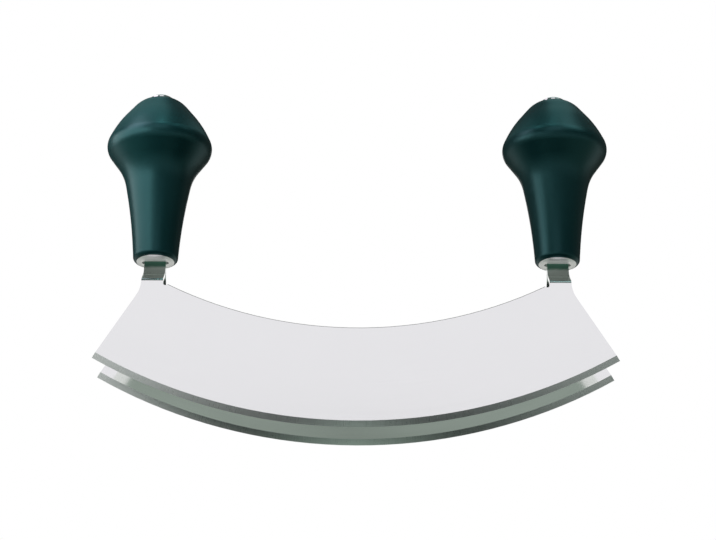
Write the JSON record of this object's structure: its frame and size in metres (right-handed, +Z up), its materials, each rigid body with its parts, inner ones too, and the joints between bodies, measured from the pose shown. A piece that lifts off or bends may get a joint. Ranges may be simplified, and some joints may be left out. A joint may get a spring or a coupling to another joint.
{
  "type": "mezzaluna",
  "caption": "Rocking herb chopper: parallel curved blades of bent sheet steel, joined at their ends under upright palm-knob handles.",
  "frame": {"origin": "lowest point of the cutting edges, midway between the two blades and between the two handles", "axes": "+Z up through the handles, +X along the blades towards the right handle, +Y from the front blade to the rear blade"},
  "size_m": [0.23, 0.0476, 0.1642],
  "materials": {
    "blade": "polished stainless steel with fine grinding lines on the bevel",
    "ferrule": "polished stainless steel, turned",
    "rod": "turned and milled steel",
    "rivet": "plain steel, headed",
    "handle": "satin, fine moulded grain",
    "washer": "plain stainless steel",
    "cap": "polished stainless steel"
  },
  "bodies": {
    "root": {"front_blade": "blade", "rear_blade": "blade", "left_ferrule": "ferrule", "right_ferrule": "ferrule", "left_tang_rod": "rod", "right_tang_rod": "rod", "left_tang_rivets": "rivet", "right_tang_rivets": "rivet", "left_handle": "handle", "right_handle": "handle", "left_washer": "washer", "right_washer": "washer", "left_cap_nut": "cap", "right_cap_nut": "cap"}
  },
  "joints": []
}
